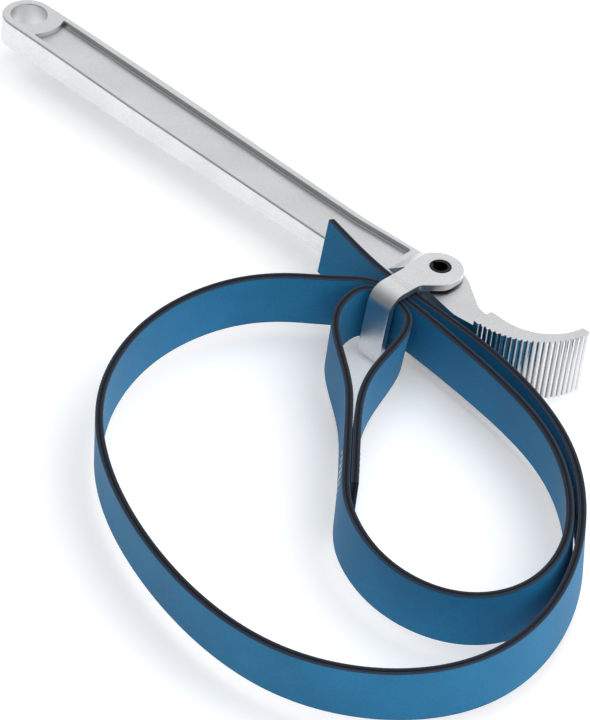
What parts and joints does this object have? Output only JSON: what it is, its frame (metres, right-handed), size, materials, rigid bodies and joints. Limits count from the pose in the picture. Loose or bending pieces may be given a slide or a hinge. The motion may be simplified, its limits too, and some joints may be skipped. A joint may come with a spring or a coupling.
{
  "type": "oil filter strap wrench",
  "caption": "Oil filter strap wrench: a forged lever with a toothed shoe, a pinned stirrup, and a long woven belt passed twice through it.",
  "frame": {"origin": "centre of the hang hole, at the middle of the tool's thickness", "axes": "+X along the lever from the hang hole to the shoe, +Y to the side away from the belt, +Z along the pin and the hang hole"},
  "size_m": [0.4751, 0.2578, 0.0387],
  "materials": {
    "lever_chrome": "matt chrome plate over a forged surface",
    "stirrup_chrome": "matt chrome plate over bent steel strip",
    "pin_steel": "black oiled spring steel",
    "belt_core": "dark rubberised tension layer, seen at the belt's edges",
    "belt_cover": "blue coated woven fabric",
    "seam_thread": "pale sewing thread"
  },
  "bodies": {
    "lever": {"lever_forging": "lever_chrome"},
    "stirrup": {"stirrup": "stirrup_chrome", "spring_pin": "pin_steel"},
    "belt": {"eye_core": "belt_core", "eye_inner_cover": "belt_cover", "eye_outer_cover": "belt_cover", "inner_loop_core": "belt_core", "inner_loop_inner_cover": "belt_cover", "inner_loop_outer_cover": "belt_cover", "outer_loop_core": "belt_core", "outer_loop_inner_cover": "belt_cover", "outer_loop_outer_cover": "belt_cover", "seam_stitches": "seam_thread"},
    "free_end": {"free_end_core": "belt_core", "free_end_inner_cover": "belt_cover", "free_end_outer_cover": "belt_cover"}
  },
  "joints": [
    {"name": "stirrup_swing", "type": "hinge", "parent": "lever", "child": "stirrup", "pos_m": [0.2756, 0, 0], "axis": [0, 0, 1], "range_deg": [-10, 10]},
    {"name": "belt_on_web", "type": "hinge", "parent": "stirrup", "child": "belt", "pos_m": [0.2725, -0.0362, 0], "axis": [0, 0, 1], "range_deg": [-10, 10]},
    {"name": "belt_feed", "type": "slide", "parent": "belt", "child": "free_end", "axis": [1, 0, 0], "range_m": [0, 0.012], "deforming": ["outer_loop_core", "outer_loop_inner_cover", "outer_loop_outer_cover"]}
  ],
  "couplings": [
    {"joint": "belt_on_web", "follows": "stirrup_swing", "ratio": -1}
  ]
}
